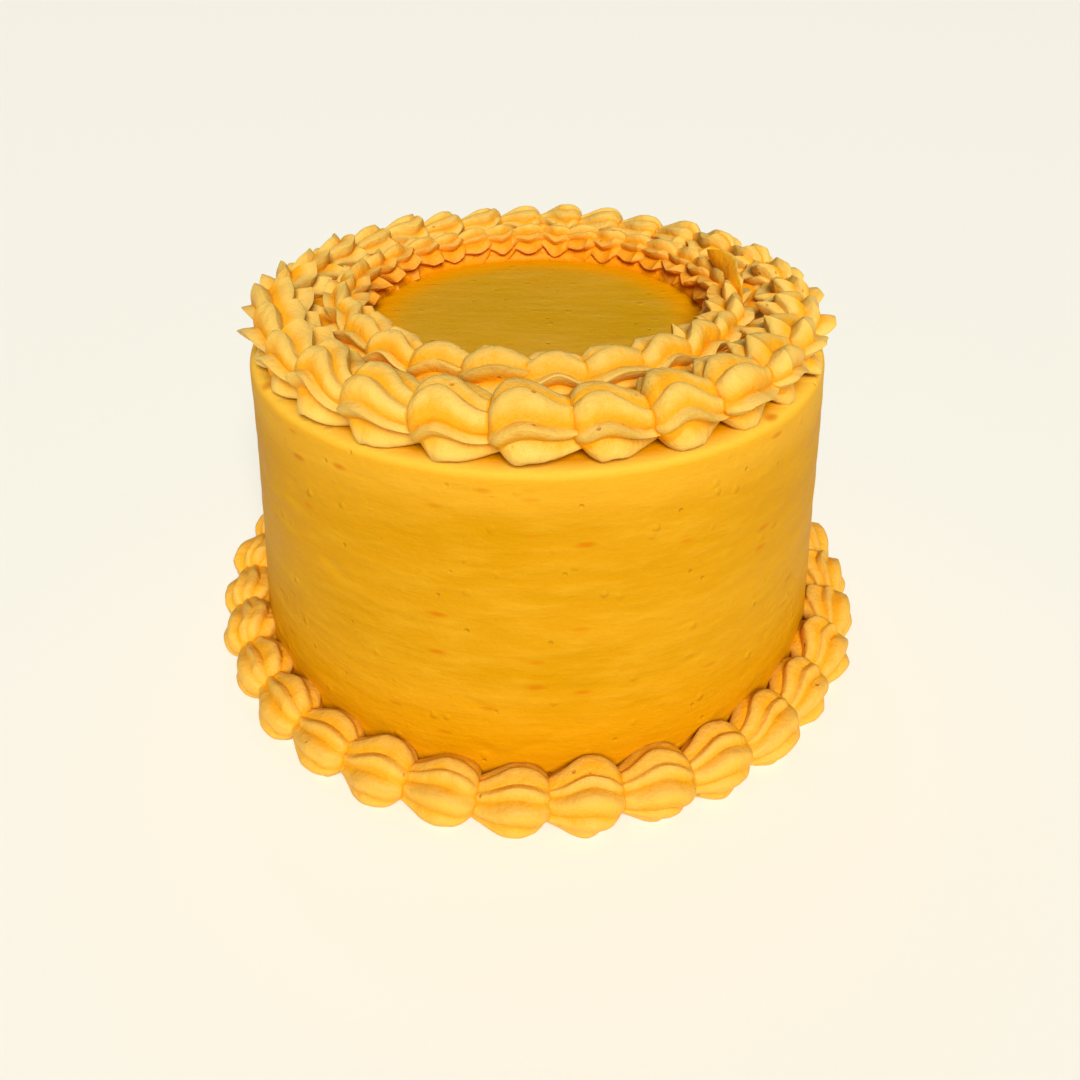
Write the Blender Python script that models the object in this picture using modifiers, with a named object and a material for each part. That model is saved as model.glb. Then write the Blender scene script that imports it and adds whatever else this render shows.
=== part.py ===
"""Round buttercream cake, six inches across, with three borders of piped shells.

Metres, +Z up. The origin is the middle of the flat underside that the cake stands on.
The front of the cake faces -Y. Angles round the cake start at the front and grow
anticlockwise seen from above, so the cake's right side, +X, is at 90 degrees.
"""

import math
import random

import bmesh
import bpy
from mathutils import Matrix, Vector

# The iced cake: a drum that flares a little towards its foot
TOP_RADIUS = 0.0760
FOOT_RADIUS = 0.0802
HEIGHT = 0.0870
SHOULDER = 0.0025
SHOULDER_STEPS = 3
FOOT_EDGE = 0.0010
DRUM_STEPS = 64

# Air between nodes that touch; points on a round wall keep a little more, as facets sag
GAP = 0.0003
WALL_GAP = 0.0005

# The two borders on top meet on a circle whose middle lies a little behind the cake's axis
SEAM_RADIUS = 0.0605
SEAM_BEHIND = 0.0030

# The star nozzle's teeth: five crests show, and the ones underneath are pressed flat
TOOTH_SPACING = math.radians(46)
CRESTS = 5
FLAT_CORNERS = 2

# Where along a shell its cross sections are, from the crease before its head to the next
SECTIONS = (0.0, 0.09, 0.33, 0.62, 0.86)

# Cross sections lean back at a crease, so that a head bulges over the tail before it
CREASE_LEAN = math.radians(-28)
BACK_LEAN = math.radians(-8)

# Edges sharper than this show as edges
SHARP_EDGE = math.radians(50)

UNEVEN_SEED = 11
UNEVEN_SIZE = 0.04
UNEVEN_TURN = math.radians(6)

# The blade that the nozzle drew up where the inner border was closed, on its outer side
BLADE_ANGLE = math.radians(96)
BLADE_RADIUS = 0.0572
BLADE_HALF_LENGTH = 0.0150
BLADE_HALF_HEIGHT = 0.0062
BLADE_HALF_THICKNESS = 0.0016
BLADE_RISE = 0.0075
BLADE_TIP_UP = math.radians(18)
BLADE_TIP_IN = math.radians(12)


class Border:
    """One ring of piped shells: where it lies and what its shells measure."""

    def __init__(self, name, radius, behind, base, count, first, travel, crowding, swelling,
                 girth, pinch, tall, seat, groove, lip, tuck, first_crest, skirt, colour):
        self.name = name
        self.radius = radius  # of the line that the nozzle followed
        self.behind = behind  # how far the ring's middle lies behind the cake's axis
        self.base = base  # height of the surface that it lies on
        self.count = count  # shells in the ring
        self.first = math.radians(first)  # where the middle of the first shell is
        self.travel = travel  # +1 piped anticlockwise seen from above, -1 clockwise
        self.crowding = crowding  # share by which shells are shorter at the back
        self.swelling = swelling  # share by which shells are thicker at the front
        self.girth = girth  # greatest radius of a shell's cross section
        self.pinch = pinch  # radius in the crease between shells, as a share
        self.tall = tall  # how much taller than round a cross section is
        self.seat = seat  # height of its middle, as a share of the greatest radius
        self.groove = groove  # radius in a groove, as a share of that at a crest
        self.lip = lip  # radius at the lowest outer crest, as a share
        self.tuck = tuck  # radius at the lowest inner crest, as a share
        self.first_crest = math.radians(first_crest)  # lowest outer crest, above level
        self.skirt = skirt  # radius of the flat underside, as a share
        self.colour = colour


FOOT_BORDER = Border(
    name="foot_border", radius=0.0852, behind=0.0, base=0.0,
    count=33, first=7.7, travel=-1, crowding=0.0, swelling=0.0,
    girth=0.0084, pinch=0.58, tall=1.0, seat=0.80, groove=0.76, lip=1.0, tuck=1.0, first_crest=-22,
    skirt=0.98, colour=(1.0, 0.50, 0.09),
)
RIM_BORDER = Border(
    name="rim_border", radius=0.0682, behind=0.0010, base=HEIGHT + GAP,
    count=29, first=-0.8, travel=1, crowding=0.08, swelling=0.08,
    girth=0.0088, pinch=0.60, tall=1.0, seat=0.60, groove=0.64, lip=1.0, tuck=1.3, first_crest=-20,
    skirt=0.90, colour=(1.0, 0.53, 0.12),
)
INNER_BORDER = Border(
    name="inner_border", radius=0.0520, behind=0.0055, base=HEIGHT + GAP,
    count=30, first=3.9, travel=1, crowding=0.18, swelling=0.13,
    girth=0.0068, pinch=0.60, tall=1.04, seat=0.66, groove=0.62, lip=1.4, tuck=1.0, first_crest=-4,
    skirt=0.85, colour=(1.0, 0.47, 0.08),
)


def clear_scene():
    for old in list(bpy.data.objects):
        bpy.data.objects.remove(old)


def buttercream(name, colour, roughness):
    material = bpy.data.materials.new(name)
    material.use_nodes = True
    shader = material.node_tree.nodes["Principled BSDF"]
    shader.inputs["Base Color"].default_value = (*colour, 1.0)
    shader.inputs["Roughness"].default_value = roughness
    shader.inputs["Metallic"].default_value = 0.0
    return material


def wall_radius(height):
    """Radius of the cake's side at a height above its underside."""
    return FOOT_RADIUS + (TOP_RADIUS - FOOT_RADIUS) * height / HEIGHT


# Iced cake


def drum_profile():
    """Half outline of the cake, from the middle of its top down its side to its underside."""
    inset = wall_radius(HEIGHT - SHOULDER) - SHOULDER
    points = [(0.0, HEIGHT)]
    for step in range(SHOULDER_STEPS + 1):
        turn = math.radians(90) * (1 - step / SHOULDER_STEPS)
        outwards = inset + SHOULDER * math.cos(turn)
        points.append((outwards, HEIGHT - SHOULDER + SHOULDER * math.sin(turn)))
    points.append((FOOT_RADIUS, FOOT_EDGE))
    points.append((FOOT_RADIUS - FOOT_EDGE, 0.0))
    points.append((0.0, 0.0))
    return points


def make_drum(collection):
    mesh = bpy.data.meshes.new("cake_body")
    profile = [(radius, 0.0, height) for radius, height in drum_profile()]
    mesh.from_pydata(profile, [(i, i + 1) for i in range(len(profile) - 1)], [])
    drum = bpy.data.objects.new("cake_body", mesh)
    collection.objects.link(drum)
    turn = drum.modifiers.new("turn", "SCREW")
    turn.axis = "Z"
    turn.steps = turn.render_steps = DRUM_STEPS
    turn.use_merge_vertices = True
    turn.merge_threshold = 0.00001
    mesh.materials.append(buttercream("smooth_buttercream", (0.86, 0.42, 0.02), 0.5))


# Piped borders


def shell_swell(along):
    """How full a shell is, from 0 in a crease to 1 at its thickest: steep head, long tail."""
    return math.sin(math.pi * along**0.62) ** 0.55


def section_outline(border):
    """(angle, share of the radius) round a cross section: crests, grooves and a flat seat."""
    points = []
    shares = [border.lip] + [1.0] * (CRESTS - 2) + [border.tuck]
    for tooth in range(CRESTS):
        crest = border.first_crest + tooth * TOOTH_SPACING
        points.append((crest, shares[tooth]))
        if tooth < CRESTS - 1:
            points.append((crest + TOOTH_SPACING / 2, border.groove))
    last = border.first_crest + (CRESTS - 1) * TOOTH_SPACING
    under = 2 * math.pi + border.first_crest - last
    for i in range(FLAT_CORNERS):
        points.append((last + under * (i + 1) / (FLAT_CORNERS + 1), border.skirt))
    return points


def keep_clear(border, x, y, height):
    """Moves a point in or out until it is off the cake's side and off the next border."""
    middle = 0.0 if border is FOOT_BORDER else SEAM_BEHIND
    reach = math.hypot(x, y - middle)
    if border is FOOT_BORDER:
        clear = max(reach, wall_radius(height) + WALL_GAP)
    elif border is RIM_BORDER:
        clear = max(reach, SEAM_RADIUS + WALL_GAP / 2)
    else:
        clear = min(reach, SEAM_RADIUS - WALL_GAP / 2)
    return Vector((x * clear / reach, middle + (y - middle) * clear / reach, height))


def border_point(border, middle, size, roll, along, angle, share):
    """A point on the shell whose middle is at an angle round the ring."""
    swell = shell_swell(along)
    fullest = border.girth * size
    girth = fullest * (border.pinch + (1 - border.pinch) * swell)
    out = girth * share * math.cos(angle + roll)
    rise = border.tall * (fullest * border.seat + girth * share * math.sin(angle + roll))
    rise = max(rise, 0.0)
    lean = CREASE_LEAN + (BACK_LEAN - CREASE_LEAN) * swell
    pitch = 2 * math.pi * border.radius / border.count * (1 + border.crowding * math.cos(middle))
    forwards = pitch * (along - 0.5) + rise * math.sin(lean)
    turn = middle + border.travel * forwards / border.radius
    x = (border.radius + out) * math.sin(turn)
    y = border.behind - (border.radius + out) * math.cos(turn)
    height = border.base + rise * math.cos(lean)
    return keep_clear(border, x, y, height)


def shell_middles(border):
    """Angle of each shell round its ring; the spacing closes up towards the back."""
    middles = []
    spread = math.sqrt((1 + border.crowding) / (1 - border.crowding))
    for i in range(border.count):
        even = math.remainder(border.first + 2 * math.pi * i / border.count, 2 * math.pi)
        middles.append(2 * math.atan(spread * math.tan(even / 2)))
    return middles


def border_mesh(border):
    """Lofts the whole ring, shell after shell, through its cross sections."""
    uneven = random.Random(UNEVEN_SEED)
    form = bmesh.new()
    outline = section_outline(border)
    rings = []
    for middle in shell_middles(border)[:: border.travel]:
        size = 1 + border.swelling * math.cos(middle) + uneven.uniform(-1, 1) * UNEVEN_SIZE
        roll = uneven.uniform(-1, 1) * UNEVEN_TURN
        for along in SECTIONS:
            ring = []
            for angle, share in outline:
                point = border_point(border, middle, size, roll, along, angle, share)
                ring.append(form.verts.new(point))
            rings.append(ring)
    for ring, following in zip(rings, rings[1:] + rings[:1]):
        for i in range(len(outline)):
            j = (i + 1) % len(outline)
            form.faces.new((ring[i], ring[j], following[j], following[i]))
    bmesh.ops.triangulate(form, faces=form.faces)
    bmesh.ops.recalc_face_normals(form, faces=form.faces)
    mesh = bpy.data.meshes.new(border.name)
    form.to_mesh(mesh)
    form.free()
    mesh.shade_smooth()
    mesh.set_sharp_from_angle(angle=SHARP_EDGE)
    mesh.materials.append(buttercream(border.name + "_buttercream", border.colour, 0.45))
    return mesh


def make_border(border, collection):
    ring = bpy.data.objects.new(border.name, border_mesh(border))
    collection.objects.link(ring)
    return ring


def blade_mesh():
    """A flat drawn-up fin of icing that stands on the outer side of the inner border."""
    form = bmesh.new()
    half = Matrix.Diagonal((BLADE_HALF_THICKNESS, BLADE_HALF_LENGTH, BLADE_HALF_HEIGHT, 1))
    bmesh.ops.create_uvsphere(form, u_segments=8, v_segments=6, radius=1.0, matrix=half)
    place = Matrix.Rotation(BLADE_ANGLE - math.radians(90), 4, "Z")
    place = Matrix.Translation((0, INNER_BORDER.behind, INNER_BORDER.base)) @ place
    place = place @ Matrix.Translation((BLADE_RADIUS, 0, BLADE_RISE))
    place = place @ Matrix.Rotation(BLADE_TIP_IN, 4, "Z") @ Matrix.Rotation(BLADE_TIP_UP, 4, "X")
    bmesh.ops.transform(form, matrix=place, verts=form.verts)
    for vert in form.verts:
        height = max(vert.co.z, INNER_BORDER.base)
        vert.co = keep_clear(INNER_BORDER, vert.co.x, vert.co.y, height)
    bmesh.ops.triangulate(form, faces=form.faces)
    mesh = bpy.data.meshes.new("blade")
    form.to_mesh(mesh)
    form.free()
    return mesh


def build_cake():
    clear_scene()
    cake = bpy.data.collections.new("buttercream_cake")
    bpy.context.scene.collection.children.link(cake)
    make_drum(cake)
    make_border(FOOT_BORDER, cake)
    make_border(RIM_BORDER, cake)
    inner = make_border(INNER_BORDER, cake)
    helpers = bpy.data.collections.new("helpers")
    bpy.context.scene.collection.children.link(helpers)
    blade = bpy.data.objects.new("closing_blade", blade_mesh())
    helpers.objects.link(blade)
    blade.hide_render = True
    blade.display_type = "WIRE"
    join = inner.modifiers.new("join_blade", "BOOLEAN")
    join.operation = "UNION"
    join.object = blade


build_cake()
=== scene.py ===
"""Round buttercream cake with three borders of piped shells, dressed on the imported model.

Metres, +Z up, the front of the cake faces -Y. Angles round the cake start at the front and
grow anticlockwise seen from above.
"""

import math
import random

import bmesh
import bpy
import numpy as np
from mathutils import Matrix, Vector


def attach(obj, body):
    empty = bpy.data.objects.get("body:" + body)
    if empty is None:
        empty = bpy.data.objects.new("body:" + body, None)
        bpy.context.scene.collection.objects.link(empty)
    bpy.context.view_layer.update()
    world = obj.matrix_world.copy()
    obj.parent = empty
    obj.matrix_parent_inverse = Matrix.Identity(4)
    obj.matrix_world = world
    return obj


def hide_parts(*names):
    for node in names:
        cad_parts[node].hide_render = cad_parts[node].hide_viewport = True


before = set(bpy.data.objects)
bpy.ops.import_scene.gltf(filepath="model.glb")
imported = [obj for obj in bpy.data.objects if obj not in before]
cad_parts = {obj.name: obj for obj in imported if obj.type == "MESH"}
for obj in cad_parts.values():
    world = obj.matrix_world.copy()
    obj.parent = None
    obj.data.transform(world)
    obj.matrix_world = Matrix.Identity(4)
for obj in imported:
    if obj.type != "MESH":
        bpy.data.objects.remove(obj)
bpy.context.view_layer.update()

# Iced cake
# Two or three layers of sponge under one coat of buttercream, smoothed with a spatula while
# the cake turned. The side flares a little to the foot and meets the flat top in a small
# soft shoulder. Level bands, dents and pits are what the spatula left.

TOP_RADIUS = 0.0760
FOOT_RADIUS = 0.0802
HEIGHT = 0.0870
SHOULDER = 0.0025
FOOT_EDGE = 0.0010
BODY_AROUND = 560
BODY_SIDE_ROWS = 110
BODY_SHOULDER_ROWS = 8
BODY_TOP_ROWS = 36
MOST_TURNS = 9
WAVINESS = 0.00030
SPATULA_BANDS = 0.00009
EVEN_AT_TOP = 0.004
EVEN_TOP_FADE = 0.006
EVEN_FOOT_FADE = 0.004
DENTS = 150
DENT_SEED = 21
DENT_DEPTH = (-0.00025, 0.00050)
DENT_WIDTH = (0.0015, 0.0045)
DENT_HEIGHT = (0.0008, 0.0022)
DENT_LEVEL = (0.1, 0.9)
DENT_SLANT = (-0.5, 0.5)
TOP_SWELL = 0.00007
TOP_SWELL_WAVES = ((70, 30, 1), (-40, 160, 0), (110, 90, 2))
TOP_SWELL_END = 0.066
TOP_SWELL_FADE = 0.02
TOP_MARGIN_OF_ERROR = 0.0001

# The inner ring of shells lies this far behind the cake's axis
INNER_BEHIND = 0.0055


def linear(code):
    """A colour written as sRGB hex, in the linear values that shaders take."""
    channels = [int(code[i : i + 2], 16) / 255 for i in (1, 3, 5)]
    return [c / 12.92 if c <= 0.04045 else ((c + 0.055) / 1.055) ** 2.4 for c in channels]


def add_node(tree, kind, settings=None, links=None):
    """Adds a node, sets its properties and sockets, and links named or numbered inputs."""
    node = tree.nodes.new(kind)
    for name, value in (settings or {}).items():
        if isinstance(name, int) or name in node.inputs:
            node.inputs[name].default_value = value
        else:
            setattr(node, name, value)
    for name, source in (links or {}).items():
        tree.links.new(source, node.inputs[name])
    return node


def wave_field(seed, count, shortest, longest):
    """A smooth random field over angle and level: waves of a range of heights, added up."""
    draw = random.Random(seed)
    waves = []
    for _ in range(count):
        turns = draw.randint(1, MOST_TURNS)
        rise = draw.uniform(-1, 1) * 2 * math.pi / draw.uniform(shortest, longest)
        waves.append((turns, rise, draw.uniform(0, 2 * math.pi), draw.uniform(0.4, 1.0)))

    def field(angle, height):
        total = np.zeros(np.broadcast(angle, height).shape)
        for turns, rise, start, size in waves:
            total += size * np.cos(turns * angle + rise * height + start)
        return total / math.sqrt(count)

    return field


def wall_radius(height):
    """Radius of the cake's side at a height above its underside."""
    return FOOT_RADIUS + (TOP_RADIUS - FOOT_RADIUS) * height / HEIGHT


def body_profile():
    """Half outline of the cake from its foot up the side, round the shoulder and to the middle."""
    inset = wall_radius(HEIGHT - SHOULDER) - SHOULDER
    points = [(FOOT_RADIUS - FOOT_EDGE, 0.0)]
    for row in range(BODY_SIDE_ROWS):
        height = FOOT_EDGE + (HEIGHT - SHOULDER - FOOT_EDGE) * row / BODY_SIDE_ROWS
        points.append((wall_radius(height), height))
    for row in range(BODY_SHOULDER_ROWS + 1):
        turn = math.radians(90) * row / BODY_SHOULDER_ROWS
        outwards = inset + SHOULDER * math.cos(turn)
        points.append((outwards, HEIGHT - SHOULDER + SHOULDER * math.sin(turn)))
    for row in range(1, BODY_TOP_ROWS):
        points.append((inset * (1 - row / BODY_TOP_ROWS), HEIGHT))
    return points


def closed_grid(name, points, round_again=False):
    """A mesh from rings of points, rings by corners by 3. Its two end rings are closed, or
    the last ring joins the first."""
    rings, corners = points.shape[:2]
    index = np.arange(rings * corners).reshape(rings, corners)
    if round_again:
        index = np.vstack([index, index[:1]])
    following = np.roll(index, -1, axis=1)
    quads = np.stack([index[:-1], following[:-1], following[1:], index[1:]], axis=-1)
    faces = quads.reshape(-1, 4).tolist()
    if not round_again:
        faces.append(index[0][::-1].tolist())
        faces.append(index[-1].tolist())
    mesh = bpy.data.meshes.new(name)
    mesh.from_pydata(points.reshape(-1, 3).tolist(), [], faces)
    return mesh


def dents(angle, height):
    """Depth of the marks that the spatula's edge and bubbles left in the side."""
    draw = random.Random(DENT_SEED)
    depth = np.zeros(np.broadcast(angle, height).shape)
    for _ in range(DENTS):
        turn, level = draw.uniform(-math.pi, math.pi), draw.uniform(*DENT_LEVEL) * HEIGHT
        wide, tall = draw.uniform(*DENT_WIDTH), draw.uniform(*DENT_HEIGHT)
        sideways = ((angle - turn + math.pi) % (2 * math.pi) - math.pi) * FOOT_RADIUS
        upwards = height - level + draw.uniform(*DENT_SLANT) * sideways
        nearness = np.exp(-((sideways / wide) ** 2) - (upwards / tall) ** 2)
        depth += draw.uniform(*DENT_DEPTH) * nearness
    return depth


def make_body():
    """The cake's mesh: its outline turned round, with wavy and dented sides and a swelling top."""
    profile = body_profile()
    outwards = np.array([p[0] for p in profile])[:, None]
    height = np.array([p[1] for p in profile])[:, None]
    angle = np.linspace(0, 2 * math.pi, BODY_AROUND, endpoint=False)[None, :]
    broad = wave_field(seed=3, count=14, shortest=0.05, longest=0.16)
    bands = wave_field(seed=8, count=16, shortest=0.005, longest=0.016)
    on_side = np.clip((HEIGHT - EVEN_AT_TOP - height) / EVEN_TOP_FADE, 0, 1)
    on_side = on_side * np.clip(height / EVEN_FOOT_FADE, 0, 1)
    on_top = np.clip((TOP_SWELL_END - outwards) / TOP_SWELL_FADE, 0, 1)
    on_top = (height > HEIGHT - TOP_MARGIN_OF_ERROR) * on_top
    push = WAVINESS * broad(angle, height) + SPATULA_BANDS * bands(angle, height)
    push = on_side * (push - dents(angle, height))
    x, y = outwards * np.sin(angle), outwards * np.cos(angle)
    swell = sum(np.cos(a * x + b * y + c) for a, b, c in TOP_SWELL_WAVES)
    lift = on_top * TOP_SWELL * swell
    reach = outwards + push
    points = np.stack(
        [reach * np.sin(angle), -reach * np.cos(angle), height + lift + 0 * angle], axis=-1
    )
    return closed_grid("cake", points)


SIDE_DEEP = (*linear("#B98100"), 1)
SIDE_PALE = (*linear("#C58C12"), 1)
SIDE_SMEAR = (*linear("#CE9A22"), 1)
# Painted bounce light near the foot
SIDE_FOOT_BOUNCE = (*linear("#CC8500"), 1)
# Painted light on the upper side, by the shoulder
SIDE_SHOULDER_LIGHT = (*linear("#D8A02A"), 1)
TOP_OLIVE = (*linear("#B38500"), 1)
TOP_PALE = (*linear("#BD8A1E"), 1)
TOP_SMEAR = (*linear("#C39534"), 1)
# Painted shade on the top next to the inner ring
TOP_RING_SHADE = (*linear("#CF8800"), 1)
# Painted light on the strip round the edge of the top
TOP_EDGE_LIGHT = (*linear("#DDAC38"), 1)
SPECK = (*linear("#BC6C04"), 1)

# Buttercream coloured with turmeric yellow and smoothed with a spatula: satin, with level drag
# lines, paler smears, and orange specks where the colour wasn't stirred in
smooth_buttercream = bpy.data.materials.new("smooth_buttercream")
smooth_buttercream.use_nodes = True
tree = smooth_buttercream.node_tree
place = add_node(tree, "ShaderNodeTexCoord").outputs["Object"]
level = add_node(tree, "ShaderNodeSeparateXYZ", None, {"Vector": place}).outputs["Z"]
on_top = add_node(
    tree, "ShaderNodeMapRange", {"From Min": HEIGHT - 0.0016, "From Max": HEIGHT - 0.0004},
    {"Value": level}
).outputs["Result"]

# Drag lines lie 1 to 3 mm apart and run 10 to 20 mm
round_side = add_node(tree, "ShaderNodeMapping", {"Scale": (75, 75, 320)}, {"Vector": place})
across_top = add_node(tree, "ShaderNodeMapping", {"Scale": (50, 190, 20)}, {"Vector": place})
side_drag = add_node(
    tree, "ShaderNodeTexNoise", {"Scale": 1, "Detail": 4, "Roughness": 0.62},
    {"Vector": round_side.outputs[0]}
).outputs[0]
top_drag = add_node(
    tree, "ShaderNodeTexNoise", {"Scale": 1, "Detail": 4, "Roughness": 0.6},
    {"Vector": across_top.outputs[0]}
).outputs[0]
drag = add_node(tree, "ShaderNodeMix", None, {0: on_top, 2: side_drag, 3: top_drag}).outputs[0]
wide_bands = add_node(tree, "ShaderNodeMapping", {"Scale": (14, 14, 70)}, {"Vector": place})
blotches = add_node(
    tree, "ShaderNodeTexNoise", {"Scale": 1, "Detail": 3, "Roughness": 0.55},
    {"Vector": wide_bands.outputs[0]}
).outputs[0]

blotch_share = add_node(
    tree, "ShaderNodeMapRange", {"From Min": 0.32, "From Max": 0.74}, {"Value": blotches}
).outputs[0]
side_colour = add_node(
    tree, "ShaderNodeMix", {"data_type": "RGBA", 6: SIDE_DEEP, 7: SIDE_PALE}, {0: blotch_share}
).outputs[2]
drag_share = add_node(
    tree, "ShaderNodeMapRange", {"From Min": 0.45, "From Max": 0.8, "To Max": 0.55}, {"Value": drag}
).outputs[0]
side_colour = add_node(
    tree, "ShaderNodeMix", {"data_type": "RGBA", 7: SIDE_SMEAR}, {0: drag_share, 6: side_colour}
).outputs[2]
# Painted bounce light: the side turns more orange towards the foot, where the foot border throws light
# back onto it
foot_bounce_share = add_node(
    tree, "ShaderNodeMapRange", {"interpolation_type": "SMOOTHSTEP", "From Min": 0.040, "From Max": 0.006,
                                 "To Max": 0.85}, {"Value": level}
).outputs[0]
side_colour = add_node(
    tree, "ShaderNodeMix", {"data_type": "RGBA", 7: SIDE_FOOT_BOUNCE}, {0: foot_bounce_share, 6: side_colour}
).outputs[2]
# Painted light: the side grows paler towards the top, as if the light from above lit the shoulder there
shoulder_light_share = add_node(
    tree, "ShaderNodeMapRange", {"interpolation_type": "SMOOTHSTEP", "From Min": HEIGHT - 0.014,
                                 "From Max": HEIGHT - 0.004, "To Max": 0.5}, {"Value": level}
).outputs[0]
side_colour = add_node(
    tree, "ShaderNodeMix", {"data_type": "RGBA", 7: SIDE_SHOULDER_LIGHT}, {0: shoulder_light_share, 6: side_colour}
).outputs[2]

top_colour = add_node(
    tree, "ShaderNodeMix", {"data_type": "RGBA", 6: TOP_OLIVE, 7: TOP_PALE}, {0: blotch_share}
).outputs[2]
top_colour = add_node(
    tree, "ShaderNodeMix", {"data_type": "RGBA", 7: TOP_SMEAR}, {0: drag_share, 6: top_colour}
).outputs[2]
# Painted shade: the top turns deeper orange towards the inner ring, where the ring shades it and throws
# orange light onto it
from_middle = add_node(
    tree, "ShaderNodeVectorMath", {"operation": "DISTANCE", 1: (0, INNER_BEHIND, HEIGHT)},
    {0: place}
).outputs["Value"]
ring_shade_share = add_node(
    tree, "ShaderNodeMapRange", {"interpolation_type": "SMOOTHSTEP", "From Min": 0.0340,
                                 "From Max": 0.0450}, {"Value": from_middle}
).outputs[0]
top_colour = add_node(
    tree, "ShaderNodeMix", {"data_type": "RGBA", 7: TOP_RING_SHADE}, {0: ring_shade_share, 6: top_colour}
).outputs[2]
# Painted light: the strip round the edge of the top, under the rim shells, is paler, as if the shoulder
# there were lit and the shells cast no shadow on it
from_axis = add_node(
    tree, "ShaderNodeVectorMath", {"operation": "DISTANCE", 1: (0, 0, HEIGHT)}, {0: place}
).outputs["Value"]
edge_light_share = add_node(
    tree, "ShaderNodeMapRange", {"From Min": 0.0705, "From Max": 0.0735}, {"Value": from_axis}
).outputs[0]
top_colour = add_node(
    tree, "ShaderNodeMix", {"data_type": "RGBA", 7: TOP_EDGE_LIGHT}, {0: edge_light_share, 6: top_colour}
).outputs[2]
colour = add_node(
    tree, "ShaderNodeMix", {"data_type": "RGBA"}, {0: on_top, 6: side_colour, 7: top_colour}
).outputs[2]

# Specks of unmixed colour, 1 to 3 mm long and drawn out level
drawn_out = add_node(tree, "ShaderNodeMapping", {"Scale": (95, 95, 300)}, {"Vector": place})
cells = add_node(tree, "ShaderNodeTexVoronoi", {"Scale": 1}, {"Vector": drawn_out.outputs[0]})
speck = add_node(
    tree, "ShaderNodeMapRange", {"interpolation_type": "SMOOTHSTEP", "From Min": 0.30, "From Max": 0.08},
    {"Value": cells.outputs["Distance"]}
).outputs[0]
chance = add_node(tree, "ShaderNodeSeparateXYZ", None, {"Vector": cells.outputs["Color"]})
chosen = add_node(
    tree, "ShaderNodeMapRange", {"From Min": 0.86, "From Max": 0.90, "To Max": 0.8},
    {"Value": chance.outputs[0]}
).outputs[0]
speck = add_node(tree, "ShaderNodeMath", {"operation": "MULTIPLY"}, {0: speck, 1: chosen}).outputs[0]
colour = add_node(
    tree, "ShaderNodeMix", {"data_type": "RGBA", 7: SPECK}, {0: speck, 6: colour}
).outputs[2]

# Pits up to a millimetre wide, where air bubbles burst, and raised bits of icing
bubbles = add_node(tree, "ShaderNodeTexVoronoi", {"Scale": 330}, {"Vector": place})
pit = add_node(
    tree, "ShaderNodeMapRange", {"interpolation_type": "SMOOTHSTEP", "From Min": 0.22, "From Max": 0.05},
    {"Value": bubbles.outputs["Distance"]}
).outputs[0]
chance = add_node(tree, "ShaderNodeSeparateXYZ", None, {"Vector": bubbles.outputs["Color"]})
chosen = add_node(
    tree, "ShaderNodeMapRange", {"From Min": 0.91, "From Max": 0.93}, {"Value": chance.outputs[0]}
).outputs[0]
pit = add_node(tree, "ShaderNodeMath", {"operation": "MULTIPLY"}, {0: pit, 1: chosen}).outputs[0]
raised = add_node(
    tree, "ShaderNodeMapRange", {"interpolation_type": "SMOOTHSTEP", "From Min": 0.45, "From Max": 0.10},
    {"Value": bubbles.outputs["Distance"]}
).outputs[0]
heaped = add_node(
    tree, "ShaderNodeMapRange", {"From Min": 0.95, "From Max": 0.97, "To Max": 0.6},
    {"Value": chance.outputs[1]}
).outputs[0]
grain = add_node(
    tree, "ShaderNodeTexNoise", {"Scale": 480, "Detail": 4, "Roughness": 0.6}, {"Vector": place}
).outputs[0]
relief = add_node(
    tree, "ShaderNodeMath", {"operation": "MULTIPLY_ADD", 1: 0.45}, {0: grain, 2: drag}
).outputs[0]
relief = add_node(
    tree, "ShaderNodeMath", {"operation": "MULTIPLY_ADD"}, {0: raised, 1: heaped, 2: relief}
).outputs[0]
relief = add_node(
    tree, "ShaderNodeMath", {"operation": "MULTIPLY_ADD", 1: -0.7}, {0: pit, 2: relief}
).outputs[0]
bump = add_node(
    tree, "ShaderNodeBump", {"Strength": 0.9, "Distance": 0.00050}, {"Height": relief}
)
shine = add_node(
    tree, "ShaderNodeMapRange", {"From Min": 0.3, "From Max": 0.7, "To Min": 0.36, "To Max": 0.55},
    {"Value": drag}
)

shader = tree.nodes["Principled BSDF"]
tree.links.new(colour, shader.inputs["Base Color"])
tree.links.new(shine.outputs[0], shader.inputs["Roughness"])
tree.links.new(bump.outputs[0], shader.inputs["Normal"])
shader.inputs["Specular IOR Level"].default_value = 0.02
shader.inputs["Subsurface Weight"].default_value = 0.2
shader.inputs["Subsurface Radius"].default_value = (1.0, 0.45, 0.08)
shader.inputs["Subsurface Scale"].default_value = 0.0025

body = bpy.data.objects.new("iced_cake", make_body())
bpy.context.scene.collection.objects.link(body)
body.data.materials.append(smooth_buttercream)
body.data.shade_smooth()
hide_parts("cake_body")
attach(body, "root")

# Piped borders
# Rings of shells piped with an open star nozzle: pressed out full at the head, then drawn
# down to a tail that the next head covers. Each crest is a ridge that one notch of the
# nozzle left, and the icing tore a little along it.


class Border:
    """One ring of piped shells. Its circle has a radius, lies so far behind the cake's axis
    and stands on a base. It has a count of shells, the angle of the first and the way that they
    travel. Crowding and swelling make them longer and larger at the front. The ribbon of a
    shell has a number of corners, a girth where it is fullest, and a seat, the share of the
    girth that its middle stands up by. Head, tail and fullest are shares of the shells'
    spacing; blunt rounds the head, and waist and fall say how far and how soon the tail is
    drawn down. Shear leans it, and roll, twist and arch turn its crests. Groove and fade say
    how deep it is cut and how far the tail loses that, and keen how sharply it is cut at the
    two sides of the cake."""

    def __init__(self, **sizes):
        self.__dict__.update(sizes)


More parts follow.
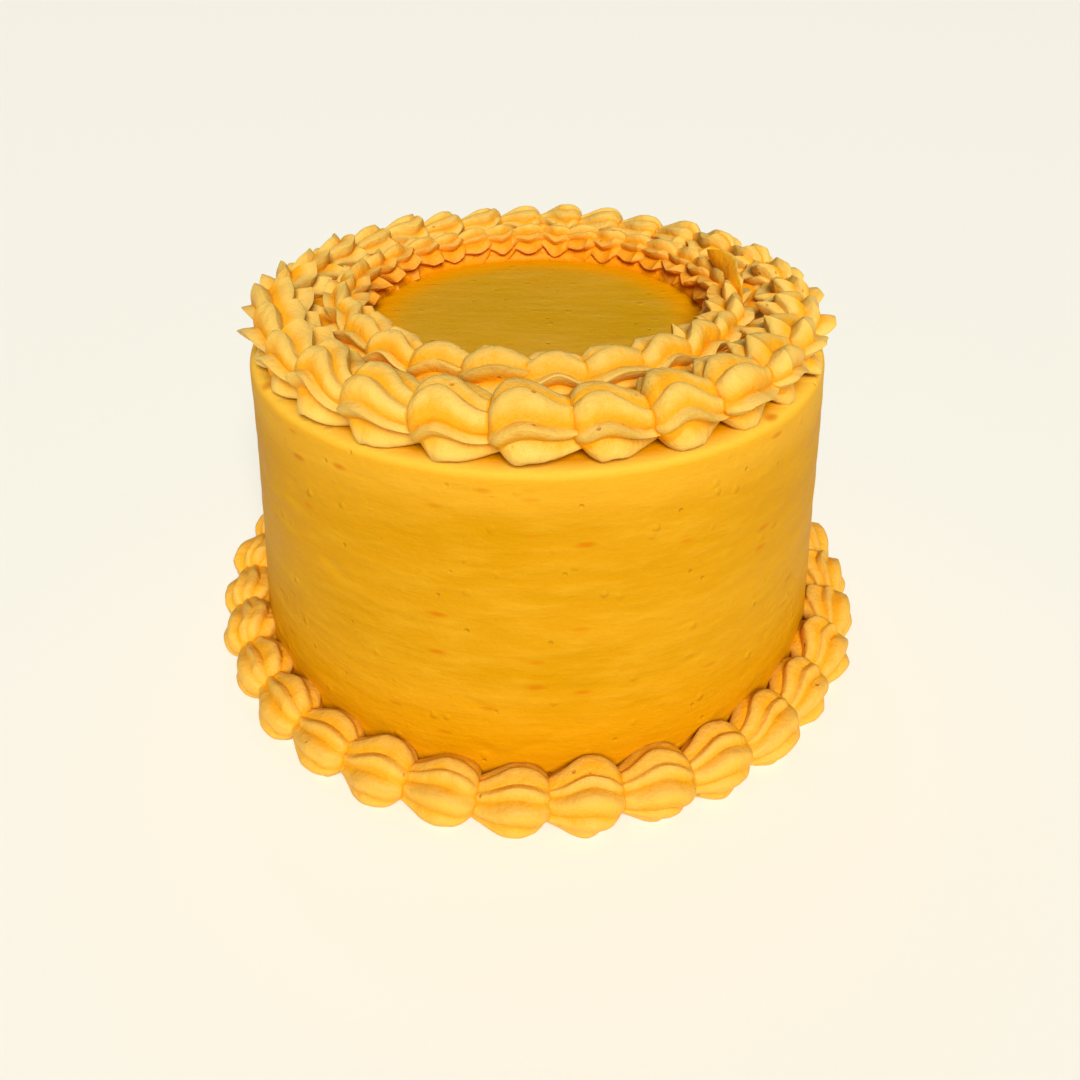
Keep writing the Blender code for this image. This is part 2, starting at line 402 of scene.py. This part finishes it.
SINK = 0.0006
SHELL_SECTIONS = 36
FINER_ABOVE = 0.35
END_GIRTH = 0.02
CREST_SOFTNESS = 0.05
NICKS = 0.009
PEAK_LENGTH = 0.13
LEAN_LENGTH = 0.35
LOW_LEAN = math.radians(26)
HEAD_FADE = 0.6
ARCH_LENGTH = 0.38
KEEN_GROOVES = 0.75
KEEN_FLANKS = 0.60
KEEN_PEAK = 0.18
KEEN_EVEN = 0.7
EVEN_LOWER, EVEN_UPPER = 38, 26
THINNEST_FLANK = 0.7
TAIL_BLUNT = 0.4
TWIST_START = 0.1
ARCH_LEVEL = 0.6
SWAY_TURNS = 2.4
KEEN_GAIN, KEEN_START = 1.6, 0.7

# How far the shells and crests differ from each other: shares of their size, and degrees
SIZE_SPREAD = (-0.04, 0.04)
ARCH_SPREAD = (0.3, 1.6)
SWAY_SPREAD = (-7, 7)
KEEN_SPREAD = (0.6, 1)
PLACE_SPREAD = (-6, 6)
PEAK_SPREAD = (0.4, 1.6)
REACH_SPREAD = (-0.06, 0.04)
FLANK_SPREAD = (0.9, 1.1)

# The waves that make up the torn edge of a crest
TEAR_WAVES = 4
TEAR_SIZE = (0.3, 1)
TEAR_TURNS = (8, 34)
ANY_START = (0, 6.3)

# Every notch: its angle above level on the outer side, its reach, how far the flank below it
# goes down, how full that flank is, how deep the groove under it is, how far the flank above
# it goes up, and how far its crest stands up at the head
FOOT = Border(
    name="foot_shells", radius=0.0852, behind=0.0, base=0.0, seed=5,
    count=33, first=math.radians(7.7), travel=-1, crowding=0.0, swelling=0.0,
    corners=100, girth=0.0084, seat=0.80, fullest=0.0, head=0.50, tail=0.72, blunt=0.62,
    waist=0.62, fall=0.40, shear=math.radians(-4), roll=11, twist=(-20, 22), arch=18,
    groove=0.70, fade=0.4, keen=0.25,
    notches=[(-62, 0.98, 42, 1.5, 0.80, 24, 0.0), (-15, 0.98, 42, 1.5, 0.74, 24, 0.0),
             (31, 1.0, 42, 1.6, 0.74, 24, 0.02), (68, 0.97, 28, 1.1, 0.70, 22, 0.05),
             (106, 1.02, 36, 1.5, 0.72, 22, 0.03), (151, 1.0, 44, 1.6, 0.76, 22, 0.0),
             (197, 0.96, 44, 1.8, 0.8, 15, 0.0), (243, 0.9, 44, 1.8, 0.8, 15, 0.0)],
)
RIM = Border(
    name="rim_shells", radius=0.0682, behind=0.0010, base=HEIGHT, seed=6,
    count=29, first=math.radians(-0.8), travel=1, crowding=0.08, swelling=0.08,
    corners=124, girth=0.0090, seat=0.60, fullest=-0.08, head=0.44, tail=0.96, blunt=0.50,
    waist=0.60, fall=0.46, shear=math.radians(-6), roll=10, twist=(-16, 30), arch=26,
    groove=0.54, fade=0.1, keen=1.0,
    notches=[(-38, 0.90, 40, 1.2, 0.60, 46, 0.06), (14, 1.07, 20, 1.0, 0.60, 20, 0.03),
             (66, 1.02, 50, 1.9, 0.72, 20, 0.03), (112, 1.04, 44, 1.6, 0.72, 20, 0.06),
             (148, 1.1, 34, 1.1, 0.64, 16, 0.1), (182, 1.14, 32, 1.1, 0.62, 16, 0.06),
             (216, 1.1, 32, 1.1, 0.6, 16, 0.0), (258, 0.8, 40, 1.3, 0.6, 20, 0.0),
             (304, 0.7, 40, 1.3, 0.6, 20, 0.0)],
)
INNER = Border(
    name="inner_shells", radius=0.0520, behind=INNER_BEHIND, base=HEIGHT, seed=7,
    count=30, first=math.radians(3.9), travel=1, crowding=0.18, swelling=0.13,
    corners=112, girth=0.0072, seat=0.66, fullest=0.0, head=0.64, tail=0.72, blunt=0.60,
    waist=0.78, fall=0.50, shear=math.radians(-2), roll=10, twist=(-20, 24), arch=24,
    groove=0.5, fade=0.1, keen=0.9,
    notches=[(-10, 0.98, 40, 1.2, 0.6, 34, 0.0), (33, 1.12, 18, 1.0, 0.56, 20, 0.06),
             (84, 1.04, 52, 2.0, 0.70, 20, 0.02), (132, 0.98, 42, 1.2, 0.6, 20, 0.08),
             (180, 1.0, 42, 1.0, 0.52, 20, 0.16), (226, 1.0, 42, 1.1, 0.52, 20, 0.12),
             (272, 0.8, 40, 1.3, 0.6, 20, 0.0), (312, 0.8, 40, 1.3, 0.6, 20, 0.0)],
)


def shell_middles(border):
    """Angle of each shell round its ring; the spacing closes up towards the back."""
    spread = math.sqrt((1 + border.crowding) / (1 - border.crowding))
    middles = []
    for i in range(border.count):
        even = math.remainder(border.first + 2 * math.pi * i / border.count, 2 * math.pi)
        middles.append(2 * math.atan(spread * math.tan(even / 2)))
    return middles


def ragged(draw, along):
    """Uneven edge of a crest, where the icing tore on the nozzle."""
    edge = np.zeros(along.shape)
    for _ in range(TEAR_WAVES):
        size = draw.uniform(*TEAR_SIZE)
        edge += size * np.sin(draw.uniform(*TEAR_TURNS) * along + draw.uniform(*ANY_START))
    return edge / math.sqrt(TEAR_WAVES)


def star_section(border, along, angle, keen, draw):
    """Radius of the ribbon round and along a shell, as a share of its fullest, and how near a
    crest each point lies."""
    depth = 1 - border.fade * np.clip(along / border.tail, 0, 1) ** 2
    depth = depth * (1 - HEAD_FADE * (1 - keen) * np.clip(-along / border.head, 0, 1) ** 1.5)
    depth = depth * (1 + KEEN_GROOVES * keen)
    share = np.zeros(np.broadcast(along, angle).shape)
    crest = np.zeros(share.shape)
    soft = CREST_SOFTNESS
    for middle, strength, width, puff, cut, rise, peak in border.notches:
        centre = math.radians(middle + draw.uniform(*PLACE_SPREAD))
        peak = (peak + KEEN_PEAK * keen) * draw.uniform(*PEAK_SPREAD)
        peak = peak * np.exp(-np.abs(along + border.head / 2) / PEAK_LENGTH)
        taller = draw.uniform(*REACH_SPREAD)
        strength = strength * (1 + taller + peak + NICKS * ragged(draw, along))
        away = (angle - centre + math.pi) % (2 * math.pi) - math.pi
        lower_width = width + (EVEN_LOWER - width) * KEEN_EVEN * keen
        upper_width = rise + (EVEN_UPPER - rise) * KEEN_EVEN * keen
        lower = np.clip(-away / math.radians(lower_width), 0, 1.25)
        upper = np.clip(away / math.radians(upper_width), 0, 1.3)
        from_crest = np.maximum(lower, upper)
        from_crest = (np.sqrt(from_crest**2 + soft**2) - soft) / (math.sqrt(1 + soft**2) - soft)
        fuller = max(puff * (1 - KEEN_FLANKS * keen), THINNEST_FLANK)
        fuller = fuller * draw.uniform(*FLANK_SPREAD)
        flank = (1 - cut) * lower**fuller
        cliff = (1 - border.groove) * from_crest
        ridge = strength * (1 - depth * np.where(away < 0, flank, cliff))
        nearness = 1 - np.clip(np.maximum(lower, upper), 0, 1) ** 1.4
        crest = np.where(ridge > share, nearness, crest)
        share = np.maximum(share, ridge)
    return share, crest


def shell_points(border, middle, draw):
    """Rings of points for one shell, from the pole of its head to the pole of its tail."""
    size = 1 + border.swelling * math.cos(middle) + draw.uniform(*SIZE_SPREAD)
    pitch = 2 * math.pi * border.radius / border.count * (1 + border.crowding * math.cos(middle))
    arc = np.linspace(-math.pi / 2, math.pi / 2, SHELL_SECTIONS + 1)[:, None]
    angle = np.linspace(0, 2 * math.pi, border.corners, endpoint=False)[None, :]
    angle = angle + FINER_ABOVE * np.cos(angle)
    along = np.where(arc < 0, border.head, border.tail) * np.sin(arc)
    drawn_down = np.exp(-((np.maximum(along, 0) / border.fall) ** 2))
    closing = np.cos(arc) ** np.where(arc < 0, border.blunt, TAIL_BLUNT)
    full = np.maximum(closing * (border.waist + (1 - border.waist) * drawn_down), END_GIRTH)
    fullest = border.girth * size
    twist = draw.uniform(*border.twist) * (along + TWIST_START)
    arch = border.arch * draw.uniform(*ARCH_SPREAD)
    arch = arch * (np.exp(-((along / ARCH_LENGTH) ** 2)) - ARCH_LEVEL)
    sway = draw.uniform(*SWAY_SPREAD) * np.sin(SWAY_TURNS * along + draw.uniform(*ANY_START))
    roll = np.radians(draw.uniform(-border.roll, border.roll) + twist + arch + sway)
    at_sides = min(max(KEEN_GAIN * abs(math.sin(middle)) - KEEN_START, 0), 1)
    keen = border.keen * at_sides * draw.uniform(*KEEN_SPREAD)
    share, crest = star_section(border, along, angle, keen, draw)
    out = fullest * full * share * np.cos(angle + roll)
    above = fullest * full * share * np.sin(angle + roll)
    late = math.tan(LOW_LEAN) * np.exp(-(along + border.head) / LEAN_LENGTH)
    forwards = pitch * (along + border.fullest) + above * math.tan(border.shear)
    forwards = forwards - np.minimum(above, 0) * late
    turn = middle + border.travel * forwards / border.radius
    rise = fullest * border.seat + above
    height = border.base + np.maximum(rise, -SINK if border.base else 0)
    x = (border.radius + out) * np.sin(turn)
    y = border.behind - (border.radius + out) * np.cos(turn)
    # The crest nearness fades out at the thin ends, so the ends tucked under the next shell take the
    # grooves' painted shade
    return np.stack([x, y, height], axis=-1), crest * np.clip(1.5 * full, 0, 1)


def solid_piece(name, forms, round_again=False):
    """One object from closed grids of points, with how near a crest each point lies."""
    form = bmesh.new()
    for points, crest in forms:
        grid = closed_grid(name, points, round_again)
        grid.attributes.new("crest", "FLOAT", "POINT").data.foreach_set("value", crest.ravel())
        form.from_mesh(grid)
        bpy.data.meshes.remove(grid)
    bmesh.ops.recalc_face_normals(form, faces=form.faces)
    mesh = bpy.data.meshes.new(name)
    form.to_mesh(mesh)
    form.free()
    piece = bpy.data.objects.new(name, mesh)
    bpy.context.scene.collection.objects.link(piece)
    return piece


def stick_to(piece, other):
    """Runs another solid of icing into a piece, so that both are one closed mesh."""
    join = piece.modifiers.new("join", "BOOLEAN")
    join.operation = "UNION"
    join.solver = "MANIFOLD"
    join.object = other
    fused = bpy.data.meshes.new_from_object(
        piece.evaluated_get(bpy.context.evaluated_depsgraph_get())
    )
    piece.modifiers.clear()
    piece.data = fused
    bpy.data.objects.remove(other)


def joined_shells(border):
    """All shells of a border as one closed mesh: every third shell, then those beside them."""
    draw = random.Random(border.seed)
    shells = [shell_points(border, middle, draw) for middle in shell_middles(border)]
    ring = solid_piece(border.name, shells[0::3])
    stick_to(ring, solid_piece(border.name + "_second", shells[1::3]))
    stick_to(ring, solid_piece(border.name + "_third", shells[2::3]))
    return ring


# Icing pressed out between the two rings on top and under the inner one, filling the shaded
# valley in the painted groove shade: radius, how far behind the cake's axis, half width, height
BANK_BETWEEN = (0.0603, 0.0030, 0.0070, 0.0066)
BANK_INSIDE = (0.0507, INNER_BEHIND, 0.0036, 0.0030)
BANK_AROUND = 200
BANK_CORNERS = 20
BANK_UNEVEN = 0.12


def bank_points(radius, behind, half_width, top):
    """Rings of points round a low bank of icing, first to last with no end."""
    turn = np.linspace(0, 2 * math.pi, BANK_AROUND, endpoint=False)[:, None]
    angle = np.linspace(0, 2 * math.pi, BANK_CORNERS, endpoint=False)[None, :]
    uneven = 1 + BANK_UNEVEN * np.sin(9 * turn + 1) * np.sin(14 * turn)
    reach = radius + half_width * np.cos(angle)
    height = HEIGHT + np.maximum(top * uneven * np.sin(angle), -SINK)
    x, y = reach * np.sin(turn), behind - reach * np.cos(turn)
    # The bank has no crest anywhere, so all of it takes the painted groove shade
    return np.stack([x, y, height], axis=-1), np.zeros(height.shape)


# The blade that the nozzle drew up where the ring was closed: a thin curled leaf
BLADE_ANGLE = math.radians(93)
BLADE_RADIUS = 0.0534
BLADE_HALF_LENGTH = 0.0145
BLADE_HALF_HEIGHT = 0.0043
BLADE_HALF_THICKNESS = 0.0009
BLADE_RISE = 0.0110
BLADE_TIP_UP = math.radians(12)
BLADE_TIP_IN = math.radians(7)
BLADE_BOW = 0.0016
BLADE_CURL = 0.0016
BLADE_WAVE = 0.0004
BLADE_SECTIONS = 40
BLADE_CORNERS = 40


def blade_points():
    """Rings of points along the leaf, from the tip that points forwards to the one behind."""
    along = np.sin(np.linspace(-math.pi / 2, math.pi / 2, BLADE_SECTIONS + 1))[:, None]
    angle = np.linspace(0, 2 * math.pi, BLADE_CORNERS, endpoint=False)[None, :]
    full = np.maximum((1 - along**2) ** 1.1 * (1 + 0.3 * along), 0.01)
    upwards = np.sin(angle) * full
    thick = BLADE_HALF_THICKNESS * np.cos(angle) * full * (1.25 - 0.55 * np.sin(angle))
    sideways = thick - BLADE_BOW * along**2 + BLADE_CURL * upwards**2
    sideways = sideways + BLADE_WAVE * np.sin(6 * along)
    place = Matrix.Rotation(BLADE_ANGLE - math.radians(90), 4, "Z")
    place = Matrix.Translation((0, INNER.behind, HEIGHT)) @ place
    place = place @ Matrix.Translation((BLADE_RADIUS, 0, BLADE_RISE))
    place = place @ Matrix.Rotation(BLADE_TIP_IN, 4, "Z") @ Matrix.Rotation(BLADE_TIP_UP, 4, "X")
    local = np.stack(
        [sideways, BLADE_HALF_LENGTH * along + 0 * angle, BLADE_HALF_HEIGHT * upwards,
         np.ones(upwards.shape)], axis=-1
    )
    points = (local @ np.array(place).T)[..., :3]
    points[..., 2] = np.maximum(points[..., 2], HEIGHT - SINK)
    # Painted light and shade: the leaf's two edges count as crests and take the painted highlight, its
    # faces the painted groove shade
    return points, np.abs(np.sin(angle)) ** 6 * full


# Painted shade in the grooves
GROOVE_SHADE = (*linear("#E69406"), 1)
FLANK = (*linear("#DA9818"), 1)
# Painted highlight on the crests
CREST_HIGHLIGHT = (*linear("#DBB150"), 1)
DRY_EDGE = (*linear("#A98238"), 1)
# Painted sheen on faces turned up
UPWARD_SHEEN = (*linear("#CDA756"), 1)
# Painted shade low in the inner ring
LOW_INNER_SHADE = (*linear("#E08A00"), 1)
DOT = (*linear("#C4761A"), 1)

# The same buttercream piped through a nozzle: satin and a little see-through, with a painted
# highlight on the crests, painted deep orange shade in the grooves and low in the inner ring,
# a painted sheen on faces turned up, and a few dots
piped_buttercream = bpy.data.materials.new("piped_buttercream")
piped_buttercream.use_nodes = True
tree = piped_buttercream.node_tree
place = add_node(tree, "ShaderNodeTexCoord").outputs["Object"]
level = add_node(tree, "ShaderNodeSeparateXYZ", None, {"Vector": place}).outputs["Z"]
crest = add_node(tree, "ShaderNodeAttribute", {"attribute_name": "crest"}).outputs["Fac"]
soft_noise = add_node(
    tree, "ShaderNodeTexNoise", {"Scale": 170, "Detail": 3}, {"Vector": place}
).outputs[0]
wander = add_node(
    tree, "ShaderNodeMapRange", {"From Min": 0.3, "From Max": 0.7, "To Min": -0.16, "To Max": 0.16},
    {"Value": soft_noise}
).outputs[0]
openness = add_node(tree, "ShaderNodeMath", {"operation": "ADD"}, {0: crest, 1: wander}).outputs[0]
# Painted shade: away from the crests the colour goes deep orange, down in the grooves
flank_share = add_node(
    tree, "ShaderNodeMapRange", {"interpolation_type": "SMOOTHSTEP", "From Min": -0.05, "From Max": 0.34},
    {"Value": openness}
).outputs[0]
colour = add_node(
    tree, "ShaderNodeMix", {"data_type": "RGBA", 6: GROOVE_SHADE, 7: FLANK}, {0: flank_share}
).outputs[2]
# Painted highlight: the colour grows paler towards each crest
crest_share = add_node(
    tree, "ShaderNodeMapRange", {"interpolation_type": "SMOOTHSTEP", "From Min": 0.40, "From Max": 1.0},
    {"Value": openness}
).outputs[0]
colour = add_node(
    tree, "ShaderNodeMix", {"data_type": "RGBA", 7: CREST_HIGHLIGHT}, {0: crest_share, 6: colour}
).outputs[2]
# Painted sheen: the parts of crests that face up are paler and duller, as if lit from above
facing = add_node(tree, "ShaderNodeNewGeometry").outputs["Normal"]
upwards = add_node(tree, "ShaderNodeSeparateXYZ", None, {"Vector": facing}).outputs["Z"]
sheen_share = add_node(
    tree, "ShaderNodeMapRange", {"From Min": 0.35, "From Max": 1.0, "To Max": 0.55}, {"Value": upwards}
).outputs[0]
sheen_share = add_node(
    tree, "ShaderNodeMath", {"operation": "MULTIPLY"}, {0: sheen_share, 1: crest_share}
).outputs[0]
colour = add_node(
    tree, "ShaderNodeMix", {"data_type": "RGBA", 7: UPWARD_SHEEN}, {0: sheen_share, 6: colour}
).outputs[2]
# Painted shade: deep orange low down in the inner ring, where its shells shade each other and the top
from_middle = add_node(
    tree, "ShaderNodeVectorMath", {"operation": "DISTANCE", 1: (0, INNER_BEHIND, HEIGHT)},
    {0: place}
).outputs["Value"]
inside = add_node(
    tree, "ShaderNodeMapRange", {"From Min": 0.0585, "From Max": 0.0510, "To Max": 0.9},
    {"Value": from_middle}
).outputs[0]
low_down = add_node(
    tree, "ShaderNodeMapRange", {"From Min": HEIGHT + 0.0120, "From Max": HEIGHT + 0.0040},
    {"Value": level}
).outputs[0]
low_shade_share = add_node(
    tree, "ShaderNodeMath", {"operation": "MULTIPLY"}, {0: inside, 1: low_down}
).outputs[0]
colour = add_node(
    tree, "ShaderNodeMix", {"data_type": "RGBA", 7: LOW_INNER_SHADE}, {0: low_shade_share, 6: colour}
).outputs[2]
at_foot = add_node(
    tree, "ShaderNodeMapRange", {"From Min": 0.030, "From Max": 0.020, "To Max": 0.5},
    {"Value": level}
).outputs[0]
colour = add_node(
    tree, "ShaderNodeMix", {"data_type": "RGBA", 7: FLANK}, {0: at_foot, 6: colour}
).outputs[2]
edge_share = add_node(
    tree, "ShaderNodeMapRange", {"From Min": 0.90, "From Max": 0.99, "To Max": 0.25}, {"Value": crest}
).outputs[0]
colour = add_node(
    tree, "ShaderNodeMix", {"data_type": "RGBA", 7: DRY_EDGE}, {0: edge_share, 6: colour}
).outputs[2]

# Dots of unmixed colour, up to a millimetre wide
cells = add_node(tree, "ShaderNodeTexVoronoi", {"Scale": 240}, {"Vector": place})
dot = add_node(
    tree, "ShaderNodeMapRange", {"interpolation_type": "SMOOTHSTEP", "From Min": 0.16, "From Max": 0.05},
    {"Value": cells.outputs["Distance"]}
).outputs[0]
chance = add_node(tree, "ShaderNodeSeparateXYZ", None, {"Vector": cells.outputs["Color"]})
chosen = add_node(
    tree, "ShaderNodeMapRange", {"From Min": 0.80, "From Max": 0.84, "To Max": 0.75},
    {"Value": chance.outputs[0]}
).outputs[0]
dot = add_node(tree, "ShaderNodeMath", {"operation": "MULTIPLY"}, {0: dot, 1: chosen}).outputs[0]
colour = add_node(
    tree, "ShaderNodeMix", {"data_type": "RGBA", 7: DOT}, {0: dot, 6: colour}
).outputs[2]

grain = add_node(
    tree, "ShaderNodeTexNoise", {"Scale": 480, "Detail": 4, "Roughness": 0.65}, {"Vector": place}
).outputs[0]
relief = add_node(
    tree, "ShaderNodeMath", {"operation": "MULTIPLY_ADD", 1: -0.8}, {0: dot, 2: grain}
).outputs[0]
bump = add_node(
    tree, "ShaderNodeBump", {"Strength": 0.9, "Distance": 0.00055}, {"Height": relief}
)
shine = add_node(
    tree, "ShaderNodeMapRange", {"From Min": 0.3, "From Max": 0.7, "To Min": 0.38, "To Max": 0.58},
    {"Value": soft_noise}
)
shader = tree.nodes["Principled BSDF"]
tree.links.new(colour, shader.inputs["Base Color"])
tree.links.new(shine.outputs[0], shader.inputs["Roughness"])
tree.links.new(bump.outputs[0], shader.inputs["Normal"])
shader.inputs["Specular IOR Level"].default_value = 0.15
shader.inputs["Subsurface Weight"].default_value = 0.25
shader.inputs["Subsurface Radius"].default_value = (1.0, 0.7, 0.2)
shader.inputs["Subsurface Scale"].default_value = 0.0035

for border, node in ((FOOT, "foot_border"), (RIM, "rim_border"), (INNER, "inner_border")):
    ring = joined_shells(border)
    if border is INNER:
        stick_to(ring, solid_piece("bank_between", [bank_points(*BANK_BETWEEN)], True))
        stick_to(ring, solid_piece("bank_inside", [bank_points(*BANK_INSIDE)], True))
        stick_to(ring, solid_piece("blade", [blade_points()]))
    ring.data.validate()
    ring.data.materials.clear()
    ring.data.materials.append(piped_buttercream)
    ring.data.shade_smooth()
    ring.data.set_sharp_from_angle(angle=math.radians(50))
    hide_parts(node)
    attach(ring, "root")

# Setting
# A pale studio: cream paper under and behind the cake, one wide soft light from the front and
# one weak light from behind.

bpy.context.scene.view_settings.view_transform = "Standard"

# The camera that was fitted to the photo: in pixels, with its tilt in degrees and the width
# of its sensor in millimetres
PHOTO_SIZE = 1080
FOCAL_LENGTH = 910.719
AXIS_COLUMN = 537.17
AXIS_ROW = 340
TILT_DOWN = 24.348
SENSOR_WIDTH = 36

camera_data = bpy.data.cameras.new("camera")
camera = bpy.data.objects.new("camera", camera_data)
bpy.context.scene.collection.objects.link(camera)
camera.location = (0, -0.2296, 0.1860)
camera.rotation_euler = (math.radians(90 - TILT_DOWN), 0, 0)
camera_data.lens = FOCAL_LENGTH / PHOTO_SIZE * SENSOR_WIDTH
camera_data.sensor_width = SENSOR_WIDTH
camera_data.shift_x = (PHOTO_SIZE / 2 - AXIS_COLUMN) / PHOTO_SIZE
camera_data.shift_y = -(PHOTO_SIZE / 2 - AXIS_ROW) / PHOTO_SIZE
camera_data.clip_start = 0.01
bpy.context.scene.camera = camera

FLOOR_HALF = 6.0

floor_mesh = bpy.data.meshes.new("floor")
corners = [(x * FLOOR_HALF, y * FLOOR_HALF, 0) for x, y in ((-1, -1), (1, -1), (1, 1), (-1, 1))]
floor_mesh.from_pydata(corners, [], [(0, 1, 2, 3)])
floor = bpy.data.objects.new("floor", floor_mesh)
bpy.context.scene.collection.objects.link(floor)
floor_material = bpy.data.materials.new("cream_paper")
floor_material.use_nodes = True
paper = floor_material.node_tree.nodes["Principled BSDF"]
paper.inputs["Base Color"].default_value = (*linear("#E7E6DC"), 1)
paper.inputs["Roughness"].default_value = 0.9
floor_mesh.materials.append(floor_material)

world = bpy.data.worlds.new("studio")
bpy.context.scene.world = world
world.use_nodes = True
background = world.node_tree.nodes["Background"]
background.inputs["Color"].default_value = (*linear("#FBF8EE"), 1)
background.inputs["Strength"].default_value = 0.12


def add_sun(name, energy, spread, colour, direction):
    """A wide, even light from far away that shines along a direction."""
    light = bpy.data.lights.new(name, "SUN")
    light.energy = energy
    light.angle = math.radians(spread)
    light.color = linear(colour)
    lamp = bpy.data.objects.new(name, light)
    bpy.context.scene.collection.objects.link(lamp)
    lamp.rotation_euler = Vector(direction).to_track_quat("-Z", "Y").to_euler()


add_sun("front_light", 4.75, 28, "#FFFDFA", (-0.12, 1.0, -0.86))
add_sun("back_light", 0.3, 60, "#FFFFFF", (0.2, -1.0, -1.2))
